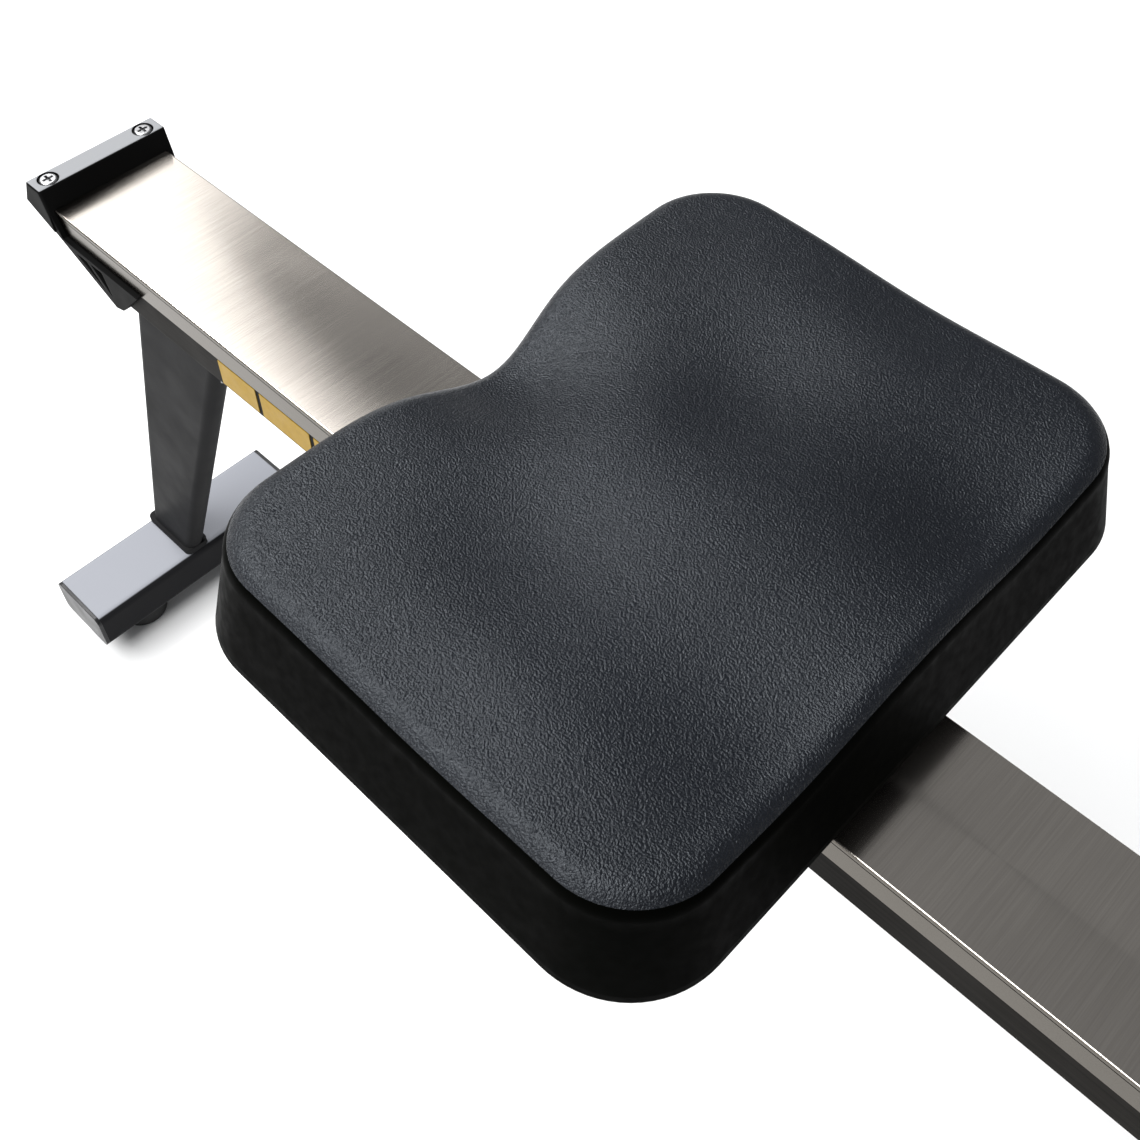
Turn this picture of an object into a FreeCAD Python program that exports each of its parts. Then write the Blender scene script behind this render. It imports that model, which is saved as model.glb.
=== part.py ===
import FreeCAD, Part
import math
import os

# An air rowing machine: a rail with a rolling seat, a fan in a cage, a strap-driven handle and footrests.
# Millimetres. +Z is up, +X runs from the seat to the fan, and the origin is on the floor under the
# middle of the machine.

V = FreeCAD.Vector
AXES = {"x": V(1, 0, 0), "y": V(0, 1, 0), "z": V(0, 0, 1)}

# Rail: a dark extrusion under a bright steel track.
RAIL_REAR = -1045.0
RAIL_LENGTH = 1180.0
RAIL_FRONT = RAIL_REAR + RAIL_LENGTH
RAIL_TOP = 455.0
RAIL_HALF = 38.0
TRACK_WALL = 1.2
HEM_HEIGHT = 2.4
HEM_DEPTH = 0.6
TRACK_SIDE = 15.2
HEAD_HALF = 37.2
HEAD_DEPTH = 35.5
HEAD_BOTTOM = RAIL_TOP - HEAD_DEPTH
WEB_HALF = 6.0
FOOT_HALF = 14.0
FOOT_WALL = 8.0
RAIL_BOTTOM = RAIL_TOP - 76.0
FOOT_REAR = RAIL_REAR - 12.0

# Rear end cap: a ridge across the track and a wing down each side.
CAP_HALF = 42.0
WING_HALF = 41.0
RIDGE_HEIGHT = 13.0
WING_TIP = (52.0, -40.0)
WING_GRIPS = [[(22.0, -18.6), (32.0, -18.2), (46.0, -32.0)], [(36.0, -18.0), (47.0, -17.6), (51.5, -33.0)]]
CAP_BACK = -18.5
CAP_BACK_LOW = -2.5
CAP_SCREW_Y = 31.5
CAP_SCREW_X = RAIL_REAR - 5.2
CAP_SCREW_SEAT = RAIL_TOP + 10.0

# Labels on the right side of the rail, from its rear end.
LABEL_THICK = 0.4
LABEL_SPANS = [(148.0, 179.0), (182.6, 222.4), (226.0, 296.0)]

# Legs and crossbars.
FOOT_HEIGHT = 21.7
FOOT_RADIUS = 20.0
BAR_LENGTH_X = 58.0
BAR_HEIGHT = 34.9
BAR_TOP = FOOT_HEIGHT + BAR_HEIGHT
BAR_WALL = 2.5
BAR_CORNER = 6.0
CAP_PLATE = 3.0
PLUG_DEPTH = 14.0
REAR_BAR_X = RAIL_REAR - 76.0
REAR_BAR_HALF = 100.0
REAR_FOOT_Y = 52.0
LEG_THICK = 16.0
LEG_WALL = 2.2
LEG_PLATE = 8.0
BOLT_RADIUS = 2.5
BOLT_HEAD = 4.0
SHOE_HALF = 45.0
FRONT_BAR_X = 880.0
FRONT_BAR_HALF = 300.0
FRONT_FOOT_Y = 270.0

# Main beam, from the rail to the fan.
BEAM_REAR = RAIL_FRONT + 8.0
BEAM_FRONT = 962.0
BEAM_HALF = 30.0
BEAM_LOW = 345.0
BEAM_HIGH = 445.0
BEAM_WALL = 3.0
BEAM_MID = (BEAM_LOW + BEAM_HIGH) / 2

# Fan, strap and handle.
FAN_X = 905.0
FAN_Z = 700.0
AXLE_RADIUS = 8.0
RUNNING_GAP = 0.05
FREE_GAP = 0.3
STRAP_WIDTH = 20.0
STRAP_THICK = 2.0
DRUM_RADIUS = 32.0
SHEAVE_RADIUS = 28.0
STRAP_Z = FAN_Z + DRUM_RADIUS
STRAP_DROP_X = FAN_X + DRUM_RADIUS
IDLER_X = STRAP_DROP_X - SHEAVE_RADIUS
TAKE_UP_X = 262.0
STRAP_ANCHOR_X = 845.0
PIN_RADIUS = 5.0
SHEAVE_HALF = 12.0
CORD_RADIUS = 4.0
CORD_TURN = 10.0
CORD_TURN_X = 175.0
CORD_ANCHOR_X = 862.0
HANDLE_X = 455.0
HANDLE_RADIUS = 10.0
GRIP_RADIUS = 16.0
HANDLE_BEND = 70.0
HANDLE_REACH = 166.0
HANDLE_SWEEP = 10.0
KNEE_RADIUS = 60.0
PLATE_IN = 16.0
PLATE_OUT = 22.0
GUIDE_X = 535.0

# Fan cage and damper.
CAGE_RADIUS = 245.0
CAGE_WALL = 3.0
CAGE_IN = PLATE_OUT
CAGE_OUT = 176.0
VENT_INNER = 72.0
VENT_OUTER = 150.0
VENT_COUNT = 10
VENT_ANGLE = 18.0
BOSS_RADIUS = 22.0
BEARING_RADIUS = 15.0

# Footrests, given along and out from the plate.
PLATE_TILT = 45.0
HEEL_X = 285.0
HEEL_Z = 330.0
PEDAL_LENGTH = 300.0
PEDAL_IN = 38.0
PEDAL_OUT = 150.0
PEDAL_THICK = 8.0

# Seat and carriage, centred on SEAT_X.
SEAT_X = RAIL_REAR + 422.9
SEAT_LENGTH = 247.0
SEAT_HALF = 160.0
SEAT_LOW = RAIL_TOP + 37.0
SEAT_HIGH = RAIL_TOP + 91.0
SEAT_CORNER = 40.5
SEAT_DRAFT = 10.0
SEAT_RIM = 11.0
CARRIAGE_HALF = 45.0
CARRIAGE_WALL = 3.0
ROLLER_RADIUS = 13.5
ROLLER_SPREAD = 70.0
LOW_ROLLER_RADIUS = 11.0
LOW_ROLLER_SPREAD = 60.0

# Monitor.
ARM_X = 545.0
ARM_Z = 815.0
TILT_X = 500.0
TILT_Z = 1000.0
CASE_FRONT = 455.0
CASE_BACK = 487.0
CASE_HALF = 78.0
CASE_LOW = 925.0
CASE_HIGH = 1065.0
BUTTON_RADIUS = 7.0
BUTTON_Z = 945.0

# Transport wheels.
WHEEL_RADIUS = 35.0
WHEEL_HALF = 12.0
WHEEL_Y = 205.0
WHEEL_X = FRONT_BAR_X + 74.0
WHEEL_Z = 43.0


def box(x, y, z):
    """A block between the low and high ends on each axis."""
    return Part.makeBox(x[1] - x[0], y[1] - y[0], z[1] - z[0], V(x[0], y[0], z[0]))


def rod(axis, centre, radius, low, high):
    """A round bar along an axis; centre gives the other two coordinates in X, Y, Z order."""
    start = {
        "x": V(low, centre[0], centre[1]),
        "y": V(centre[0], low, centre[1]),
        "z": V(centre[0], centre[1], low),
    }[axis]
    return Part.makeCylinder(radius, high - low, start, AXES[axis])


def ring(axis, centre, outer, inner, low, high):
    return rod(axis, centre, outer, low, high).cut(rod(axis, centre, inner, low - 1, high + 1))


def prism(axis, points, low, high):
    """A polygon in the plane across an axis, stretched from low to high along it."""
    place = {
        "x": lambda p: V(low, p[0], p[1]),
        "y": lambda p: V(p[0], low, p[1]),
        "z": lambda p: V(p[0], p[1], low),
    }[axis]
    outline = Part.makePolygon([place(p) for p in points] + [place(points[0])])
    return Part.Face(outline).extrude(AXES[axis] * (high - low))


def joined(*shapes):
    return shapes[0].multiFuse(list(shapes[1:])).removeSplitter()


def runs_along(edge, axis):
    straight = edge.Curve.TypeId == "Part::GeomLine"
    return straight and abs(edge.tangentAt(edge.FirstParameter).dot(AXES[axis])) > 0.999


def softened(shape, axis, radius):
    """Rounds every straight edge that runs along an axis."""
    return shape.makeFillet(radius, [e for e in shape.Edges if runs_along(e, axis)])


def mirrored(shape):
    return shape.mirror(V(0, 0, 0), V(0, 1, 0))


def both_sides(shape):
    return Part.makeCompound([shape, mirrored(shape)])


def polar(radius, degrees):
    angle = math.radians(degrees)
    return radius * math.cos(angle), radius * math.sin(angle)


def save(name, shape):
    shape.exportStep(f"parts/{name}.step")


# ---- Rail ----

def rail_head():
    head = box((RAIL_REAR, RAIL_FRONT), (TRACK_WALL - RAIL_HALF, RAIL_HALF - TRACK_WALL),
               (HEAD_BOTTOM, RAIL_TOP - TRACK_WALL))
    band = box((RAIL_REAR, RAIL_FRONT), (-HEAD_HALF, HEAD_HALF), (HEAD_BOTTOM, RAIL_TOP - TRACK_SIDE))
    chamber = box((RAIL_REAR - 1, RAIL_FRONT + 1), (5.0, 32.0), (HEAD_BOTTOM + 4.0, RAIL_TOP - 5.0))
    bevel = prism("y", [(RAIL_REAR - 1, RAIL_TOP - 9.0), (RAIL_REAR + 49.0, HEAD_BOTTOM - 1),
                        (RAIL_REAR - 1, HEAD_BOTTOM - 1)], -RAIL_HALF, RAIL_HALF)
    return joined(head, band).cut(Part.makeCompound([chamber, mirrored(chamber), bevel]))


def rail_beam():
    web = box((FOOT_REAR, RAIL_FRONT), (-WEB_HALF, WEB_HALF), (RAIL_BOTTOM, HEAD_BOTTOM))
    foot = box((FOOT_REAR, RAIL_FRONT), (-FOOT_HALF, FOOT_HALF), (RAIL_BOTTOM, RAIL_BOTTOM + FOOT_WALL))
    side_holes = [rod("y", p, BOLT_RADIUS, -WEB_HALF - 1, WEB_HALF + 1) for p in coupling_bolt_places()]
    leg_holes = joined_holes(leg_bolt_places(), RAIL_BOTTOM)
    return joined(rail_head(), web, foot).cut(leg_holes).cut(Part.makeCompound(side_holes))


def joined_holes(places, z):
    """Bolt holes along Z around a height."""
    return Part.makeCompound([rod("z", p, BOLT_RADIUS, z - 20, z + 20) for p in places])


def rail_track():
    outer = box((RAIL_REAR, RAIL_FRONT), (-RAIL_HALF, RAIL_HALF), (RAIL_TOP - TRACK_SIDE, RAIL_TOP))
    top_edges = [e for e in outer.Edges if runs_along(e, "x") and e.CenterOfMass.z > RAIL_TOP - 1]
    inside = box((RAIL_REAR - 1, RAIL_FRONT + 1), (TRACK_WALL - RAIL_HALF, RAIL_HALF - TRACK_WALL),
                 (RAIL_TOP - TRACK_SIDE - 1, RAIL_TOP - TRACK_WALL))
    groove = box((RAIL_REAR - 1, RAIL_FRONT + 1), (RAIL_HALF - HEM_DEPTH, RAIL_HALF + 1),
                 (RAIL_TOP - HEM_HEIGHT - HEM_DEPTH, RAIL_TOP - HEM_HEIGHT))
    return outer.makeFillet(TRACK_WALL * 0.8, top_edges).cut(inside).cut(both_sides(groove))


def on_rail(points):
    """Points given back from the rail's rear end and down from its top."""
    return [(RAIL_REAR + x, RAIL_TOP + z) for x, z in points]


def cap_wing():
    outline = on_rail([(CAP_BACK, CAP_BACK_LOW), (CAP_BACK, 0.0), (4.5, 0.0), (10.0, -TRACK_SIDE),
                       (81.6, -TRACK_SIDE), (60.0, -37.5), WING_TIP])
    wing = prism("y", outline, HEAD_HALF, WING_HALF)
    tip = [e for e in wing.Edges if runs_along(e, "y") and e.CenterOfMass.z < RAIL_TOP - 30]
    wing = wing.makeFillet(1.6, tip)
    grips = [prism("y", on_rail(corners), WING_HALF - 2.4, WING_HALF + 1) for corners in WING_GRIPS]
    return wing.cut(Part.makeCompound(grips))


def rail_end_cap():
    outline = on_rail([(-12.0, RIDGE_HEIGHT), (1.5, RIDGE_HEIGHT), (4.5, 0.0), (4.5, -13.0),
                       (CAP_BACK, CAP_BACK_LOW), (CAP_BACK, 0.0)])
    ridge = prism("y", outline, -CAP_HALF, CAP_HALF)
    ridge = ridge.makeFillet(1.5, [e for e in ridge.Edges if e.CenterOfMass.z > RAIL_TOP + 1])
    cap = joined(ridge, cap_wing(), mirrored(cap_wing()))
    places = [(CAP_SCREW_X, y) for y in (-CAP_SCREW_Y, CAP_SCREW_Y)]
    wells = [rod("z", p, 6.2, CAP_SCREW_SEAT, RAIL_TOP + 20) for p in places]
    holes = [rod("z", p, 2.5, RAIL_TOP - 20, RAIL_TOP + 20) for p in places]
    rail = (RAIL_REAR, RAIL_FRONT)
    side_space = box(rail, (-HEAD_HALF, HEAD_HALF), (RAIL_TOP - 60, RAIL_TOP - TRACK_SIDE))
    track_space = box(rail, (-RAIL_HALF, RAIL_HALF), (RAIL_TOP - TRACK_SIDE, RAIL_TOP))
    return cap.cut(side_space).cut(track_space).cut(Part.makeCompound(wells + holes))


def cap_screw(y):
    """A pan-head screw with a cross recess."""
    head = rod("z", (CAP_SCREW_X, y), 5.4, CAP_SCREW_SEAT, CAP_SCREW_SEAT + 3.2)
    head = head.makeFillet(1.4, [e for e in head.Edges if e.CenterOfMass.z > CAP_SCREW_SEAT + 3])
    depth = (CAP_SCREW_SEAT + 1.4, CAP_SCREW_SEAT + 5)
    slots = [box((CAP_SCREW_X - a, CAP_SCREW_X + a), (y - b, y + b), depth)
             for a, b in ((3.2, 0.75), (0.75, 3.2))]
    shank = rod("z", (CAP_SCREW_X, y), 2.5, RAIL_TOP - 5, CAP_SCREW_SEAT)
    return joined(head, shank).cut(joined(*slots))


def caution_labels():
    """Thin labels in a row on the right side of the rail."""
    width = (-HEAD_HALF - LABEL_THICK, -HEAD_HALF)
    height = (HEAD_BOTTOM + 1.4, RAIL_TOP - TRACK_SIDE - 2.0)
    return Part.makeCompound([box((RAIL_REAR + a, RAIL_REAR + b), width, height) for a, b in LABEL_SPANS])


def track_stop():
    """A rubber block that the lower rollers meet at the front end of the travel."""
    front = RAIL_REAR + 1096.0
    return box((front, front + 16.0), (WEB_HALF, 34.0), (HEAD_BOTTOM - 22.0, HEAD_BOTTOM))


def rail_coupling():
    """The steel shoe that joins the rail to the main beam."""
    plate = box((RAIL_FRONT, BEAM_REAR), (-SHOE_HALF, SHOE_HALF), (BEAM_LOW - 4, RAIL_TOP - 2))
    cheek = box((RAIL_FRONT - 55.0, RAIL_FRONT), (WEB_HALF, WEB_HALF + 5.0),
                (RAIL_BOTTOM + FOOT_WALL, HEAD_BOTTOM))
    holes = Part.makeCompound([rod("y", p, BOLT_RADIUS, -30, 30) for p in coupling_bolt_places()])
    return joined(softened(plate, "x", 6.0), cheek, mirrored(cheek)).cut(holes)


def coupling_bolt_places():
    return [(RAIL_FRONT - x, HEAD_BOTTOM - 14.0) for x in (15.0, 40.0)]


# ---- Legs, crossbars and feet ----

def rounded_wire(x, half, z, corner):
    """A rounded rectangle at a height, as the section of an upright leg."""
    block = softened(box(x, (-half, half), (z, z + 1)), "z", corner)
    return [f for f in block.Faces if abs(f.CenterOfMass.z - z) < 1e-6][0].OuterWire


def tapered_leg(low_x, high_x, high_z, half, wall):
    """A flat tube whose width changes from bottom to top."""
    outer = Part.makeLoft([rounded_wire(low_x, half, BAR_TOP, half - 0.5),
                           rounded_wire(high_x, half, high_z, half - 0.5)], True)
    inner = Part.makeLoft([
        rounded_wire((low_x[0] + wall, low_x[1] - wall), half - wall, BAR_TOP, half - wall - 0.5),
        rounded_wire((high_x[0] + wall, high_x[1] - wall), half - wall, high_z, half - wall - 0.5)], True)
    return outer.cut(inner)


def rear_leg():
    low = (RAIL_REAR - 104.1, RAIL_REAR - 51.4)
    high = (RAIL_REAR + 0.5, RAIL_REAR + 86.5)
    top = RAIL_BOTTOM - LEG_PLATE
    tube = tapered_leg(low, high, top, LEG_THICK / 2, LEG_WALL)
    plate = box((FOOT_REAR - 2, RAIL_REAR + 106.0), (-FOOT_HALF, FOOT_HALF), (top, RAIL_BOTTOM))
    collar_low = box((low[0] - 1.0, low[1] + 2.5), (-LEG_THICK / 2 - 2.5, LEG_THICK / 2 + 2.5),
                     (BAR_TOP, BAR_TOP + 5.0))
    collar = softened(collar_low, "z", 5.0).cut(
        box((low[0] + 4, low[1] - 4), (3 - LEG_THICK / 2, LEG_THICK / 2 - 3), (BAR_TOP - 1, BAR_TOP + 6)))
    return joined(tube, plate, collar).cut(joined_holes(leg_bolt_places(), RAIL_BOTTOM))


def leg_bolt_places():
    return [(RAIL_REAR + x, y) for x in (-6.0, 98.0) for y in (-10.2, 10.2)]


def front_leg():
    top = BEAM_LOW - LEG_PLATE
    tube = tapered_leg((852.0, 908.0), (760.0, 850.0), top, 14.0, 3.0)
    plate = box((740.0, 870.0), (-BEAM_HALF, BEAM_HALF), (top, BEAM_LOW))
    return joined(tube, softened(plate, "z", 8.0))


def crossbar(x, half):
    """A box tube across the machine, open at both ends."""
    reach = half - CAP_PLATE
    outer = box((x - BAR_LENGTH_X / 2, x + BAR_LENGTH_X / 2), (-reach, reach), (FOOT_HEIGHT, BAR_TOP))
    inner = box((x - BAR_LENGTH_X / 2 + BAR_WALL, x + BAR_LENGTH_X / 2 - BAR_WALL), (-reach - 1, reach + 1),
                (FOOT_HEIGHT + BAR_WALL, BAR_TOP - BAR_WALL))
    return softened(outer, "y", BAR_CORNER).cut(softened(inner, "y", BAR_CORNER - BAR_WALL))


def bar_cap(x, half):
    """The plastic plug that closes one end of a crossbar."""
    reach = half - CAP_PLATE
    plate = box((x - BAR_LENGTH_X / 2, x + BAR_LENGTH_X / 2), (reach, half), (FOOT_HEIGHT, BAR_TOP))
    plug = box((x - BAR_LENGTH_X / 2 + BAR_WALL, x + BAR_LENGTH_X / 2 - BAR_WALL), (reach - PLUG_DEPTH, reach),
               (FOOT_HEIGHT + BAR_WALL, BAR_TOP - BAR_WALL))
    return joined(softened(plate, "y", BAR_CORNER), softened(plug, "y", BAR_CORNER - BAR_WALL))


def crossbar_caps():
    ends = [bar_cap(REAR_BAR_X, REAR_BAR_HALF), bar_cap(FRONT_BAR_X, FRONT_BAR_HALF)]
    return Part.makeCompound(ends + [mirrored(e) for e in ends])


def rubber_feet():
    feet = []
    for x, y in ((REAR_BAR_X, REAR_FOOT_Y), (FRONT_BAR_X, FRONT_FOOT_Y)):
        puck = rod("z", (x, y), FOOT_RADIUS, 0, FOOT_HEIGHT)
        puck = puck.makeFillet(2.0, [e for e in puck.Edges if e.CenterOfMass.z < 1])
        feet += [puck, mirrored(puck)]
    return Part.makeCompound(feet)


def bolt(axis, centre, low, high, head):
    """A plain bolt with a hexagon head at its low end and a nut at its high end."""
    shank = rod(axis, centre, BOLT_RADIUS, low, high)
    return joined(hexagon(axis, centre, low - head, low), shank, hexagon(axis, centre, high, high + head))


def hexagon(axis, centre, low, high):
    corners = [polar(BOLT_HEAD, 60.0 * k + 30.0) for k in range(6)]
    return prism(axis, [(centre[0] + a, centre[1] + b) for a, b in corners], low, high)


def frame_bolts():
    leg = [bolt("z", p, RAIL_BOTTOM - LEG_PLATE, RAIL_BOTTOM + FOOT_WALL, 3.5) for p in leg_bolt_places()]
    side = WEB_HALF + 5.0
    return Part.makeCompound(leg + [bolt("y", p, -side, side, 3.5) for p in coupling_bolt_places()])


# ---- Main beam and what it holds ----

def main_beam():
    outer = box((BEAM_REAR, BEAM_FRONT), (-BEAM_HALF, BEAM_HALF), (BEAM_LOW, BEAM_HIGH))
    inner = box((BEAM_REAR - 1, BEAM_FRONT + 1), (BEAM_WALL - BEAM_HALF, BEAM_HALF - BEAM_WALL),
                (BEAM_LOW + BEAM_WALL, BEAM_HIGH - BEAM_WALL))
    tube = softened(outer, "x", 7.0).cut(softened(inner, "x", 4.0))
    slot = box((STRAP_DROP_X - 7, STRAP_DROP_X + 7), (-13, 13), (BEAM_HIGH - 10, BEAM_HIGH + 1))
    pin_hole = rod("y", (IDLER_X, BEAM_MID), PIN_RADIUS, -BEAM_HALF - 1, BEAM_HALF + 1)
    return tube.cut(Part.makeCompound([slot, pin_hole]))


def beam_front_plug():
    plate = box((BEAM_FRONT, BEAM_FRONT + 4), (-BEAM_HALF, BEAM_HALF), (BEAM_LOW, BEAM_HIGH))
    inset = BEAM_WALL + 1.5
    plug = box((BEAM_FRONT - 10, BEAM_FRONT), (inset - BEAM_HALF, BEAM_HALF - inset),
               (BEAM_LOW + inset, BEAM_HIGH - inset))
    return joined(softened(plate, "x", 7.0), softened(plug, "x", 3.0))


def beam_fittings():
    """The idler's pin, the cord's turning post and the two anchors, all inside the beam."""
    idler_pin = rod("y", (IDLER_X, BEAM_MID), PIN_RADIUS, -BEAM_HALF, BEAM_HALF)
    post = rod("z", (CORD_TURN_X, CORD_TURN), CORD_TURN - CORD_RADIUS - FREE_GAP,
               BEAM_LOW + BEAM_WALL, BEAM_HIGH - BEAM_WALL)
    strap_low = BEAM_MID + SHEAVE_RADIUS + STRAP_THICK / 2
    strap_anchor = box((STRAP_ANCHOR_X - 12, STRAP_ANCHOR_X), (-12, 12), (strap_low, BEAM_HIGH - BEAM_WALL))
    cord_anchor = box((CORD_ANCHOR_X, CORD_ANCHOR_X + 10), (14, BEAM_HALF - BEAM_WALL),
                      (BEAM_MID - 12, BEAM_MID + 12))
    return Part.makeCompound([idler_pin, post, strap_anchor, cord_anchor])


def sheave(x, z, groove):
    """A strap wheel with a flange on each side."""
    barrel = rod("y", (x, z), groove, -SHEAVE_HALF + 1.2, SHEAVE_HALF - 1.2)
    flanges = [rod("y", (x, z), groove + 5, a, b)
               for a, b in ((-SHEAVE_HALF, 1.2 - SHEAVE_HALF), (SHEAVE_HALF - 1.2, SHEAVE_HALF))]
    bore = rod("y", (x, z), PIN_RADIUS + RUNNING_GAP, -SHEAVE_HALF - 1, SHEAVE_HALF + 1)
    return joined(barrel, *flanges).cut(bore)


def take_up_block():
    """The carrier that the return cord pulls back along the beam."""
    height = (BEAM_MID - 13, BEAM_MID + 13)
    side = box((TAKE_UP_X - 46, TAKE_UP_X + 12), (SHEAVE_HALF + 0.5, SHEAVE_HALF + 3), height)
    bridge = box((TAKE_UP_X - 46, TAKE_UP_X - 37), (-SHEAVE_HALF - 3, SHEAVE_HALF + 3), height)
    pin = rod("y", (TAKE_UP_X, BEAM_MID), PIN_RADIUS, -SHEAVE_HALF - 3, SHEAVE_HALF + 3)
    return joined(side, mirrored(side), bridge, pin)


def return_cord():
    """The elastic cord, from the take-up block round its post and forward to its anchor."""
    start = TAKE_UP_X - 46
    near = rod("x", (0, BEAM_MID), CORD_RADIUS, CORD_TURN_X, start)
    far = rod("x", (2 * CORD_TURN, BEAM_MID), CORD_RADIUS, CORD_TURN_X, CORD_ANCHOR_X)
    centre = V(CORD_TURN_X, CORD_TURN, BEAM_MID)
    bend = Part.makeTorus(CORD_TURN, CORD_RADIUS, centre, V(0, 0, 1), 0, 360, 180)
    bend.rotate(V(CORD_TURN_X, CORD_TURN, BEAM_MID), V(0, 0, 1), 90)
    return joined(near, bend, far)


# ---- Strap ----

def strap_arc(x, z, radius, first, last):
    """The part of a strap that lies on a wheel, between two angles from +X."""
    outer = radius + STRAP_THICK / 2
    inner = radius - STRAP_THICK / 2
    middle = (first + last) / 2
    arcs = []
    for r, angles in ((outer, (first, middle, last)), (inner, (last, middle, first))):
        ends = [V(x + polar(r, a)[0], -STRAP_WIDTH / 2, z + polar(r, a)[1]) for a in angles]
        arcs.append(Part.Arc(*ends).toShape())
    caps = [
        Part.makeLine(arcs[0].Vertexes[1].Point, arcs[1].Vertexes[0].Point),
        Part.makeLine(arcs[1].Vertexes[1].Point, arcs[0].Vertexes[0].Point),
    ]
    outline = Part.Wire([arcs[0], caps[0], arcs[1], caps[1]])
    return Part.Face(outline).extrude(V(0, STRAP_WIDTH, 0))


def strap_run(x, z):
    """A flat run of strap: one of x and z is a pair, and the other is where its middle lies."""
    half = STRAP_THICK / 2
    x_ends = x if isinstance(x, tuple) else (x - half, x + half)
    z_ends = z if isinstance(z, tuple) else (z - half, z + half)
    return box(x_ends, (-STRAP_WIDTH / 2, STRAP_WIDTH / 2), z_ends)


def strap_loop():
    """The strap from the top of the drum down into the beam and round the take-up wheel."""
    return joined(
        strap_arc(FAN_X, FAN_Z, DRUM_RADIUS, 0, 90),
        strap_run(STRAP_DROP_X, (BEAM_MID, FAN_Z)),
        strap_arc(IDLER_X, BEAM_MID, SHEAVE_RADIUS, -90, 0),
        strap_run((TAKE_UP_X, IDLER_X), BEAM_MID - SHEAVE_RADIUS),
        strap_arc(TAKE_UP_X, BEAM_MID, SHEAVE_RADIUS, 90, 270),
        strap_run((TAKE_UP_X, STRAP_ANCHOR_X), BEAM_MID + SHEAVE_RADIUS),
    )


def strap_top_run():
    return strap_run((HANDLE_X + 30, FAN_X), STRAP_Z)


# ---- Handle ----

def knee(side):
    """A torus sector that turns the bar from its middle run into a swept-back end."""
    centre = V(HANDLE_X - KNEE_RADIUS, side * HANDLE_BEND, STRAP_Z)
    face = Part.Face(Part.Wire(Part.makeCircle(
        HANDLE_RADIUS, V(HANDLE_X, side * HANDLE_BEND, STRAP_Z), V(0, 1, 0))))
    return face.revolve(centre, V(0, 0, side), HANDLE_SWEEP)


def handle_end(radius, low, high):
    """A round bar along the swept-back end, between two distances from the bend."""
    bar = rod("y", (HANDLE_X, STRAP_Z), radius, HANDLE_BEND + low, HANDLE_BEND + high)
    bar.rotate(V(HANDLE_X - KNEE_RADIUS, HANDLE_BEND, STRAP_Z), V(0, 0, 1), HANDLE_SWEEP)
    return bar


def handle_bar():
    middle = rod("y", (HANDLE_X, STRAP_Z), HANDLE_RADIUS, -HANDLE_BEND, HANDLE_BEND)
    end = handle_end(HANDLE_RADIUS, 0, HANDLE_REACH)
    return joined(middle, knee(1), knee(-1), end, mirrored(end))


def handle_grip():
    grip = handle_end(GRIP_RADIUS, 18.0, HANDLE_REACH + 4)
    grip = grip.makeFillet(3.0, [e for e in grip.Edges if e.Curve.TypeId == "Part::GeomCircle"])
    return grip.cut(handle_end(HANDLE_RADIUS, 10.0, HANDLE_REACH))


def handle_yoke():
    """The clevis that ties the strap to the bar."""
    eye = rod("y", (HANDLE_X, STRAP_Z), HANDLE_RADIUS + 5, -12, 12)
    tongue = box((HANDLE_X, HANDLE_X + 42), (-12, 12), (STRAP_Z - 4, STRAP_Z + 4))
    slot = box((HANDLE_X + 30, HANDLE_X + 50), (-13, 13), (STRAP_Z - 1, STRAP_Z + 1))
    bar = rod("y", (HANDLE_X, STRAP_Z), HANDLE_RADIUS, -13, 13)
    return joined(eye, tongue).cut(Part.makeCompound([slot, bar]))


def hook_arm():
    """One side of the cradle that the bar rests in."""
    shelf = STRAP_Z - HANDLE_RADIUS - FREE_GAP
    stop = HANDLE_X + HANDLE_RADIUS + FREE_GAP
    outline = [(HANDLE_X - 14, shelf), (stop, shelf), (stop, STRAP_Z + 6), (stop + 14, STRAP_Z + 6),
               (GUIDE_X + 40, STRAP_Z - 10), (GUIDE_X + 40, STRAP_Z - 45), (HANDLE_X - 14, shelf - 10)]
    return prism("y", outline, PLATE_OUT, PLATE_OUT + 5)


# ---- Fan ----

def bracket_plate():
    """The side plate that carries the fan, the strap guide and the monitor."""
    outline = [(620.0, BEAM_HIGH), (948.0, BEAM_HIGH), (952.0, 700.0), (930.0, 742.0), (880.0, 752.0),
               (700.0, 760.0), (590.0, 835.0), (522.0, 835.0), (516.0, 700.0), (590.0, 662.0)]
    plate = softened(prism("y", outline, PLATE_IN, PLATE_OUT), "y", 9.0)
    window = softened(prism("y", [(675.0, 520.0), (850.0, 520.0), (850.0, 650.0), (675.0, 690.0)],
                            PLATE_IN - 1, PLATE_OUT + 1), "y", 14.0)
    bore = rod("y", (FAN_X, FAN_Z), BEARING_RADIUS, PLATE_IN - 1, PLATE_OUT + 1)
    pivot = rod("y", (ARM_X, ARM_Z), PIN_RADIUS, PLATE_IN - 1, PLATE_OUT + 1)
    return plate.cut(Part.makeCompound([window, bore, pivot]))


def axle_bearings():
    spans = [(PLATE_IN, PLATE_OUT), (-PLATE_OUT, -PLATE_IN), (CAGE_OUT - CAGE_WALL, CAGE_OUT + 4)]
    return Part.makeCompound([
        ring("y", (FAN_X, FAN_Z), BEARING_RADIUS, AXLE_RADIUS + RUNNING_GAP, a, b) for a, b in spans])


def strap_guide():
    """Two smooth bars that the strap runs between."""
    away = STRAP_THICK / 2 + 6 + FREE_GAP
    return Part.makeCompound([
        rod("y", (GUIDE_X, STRAP_Z + side * away), 6.0, -PLATE_IN, PLATE_IN) for side in (-1, 1)])


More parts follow.
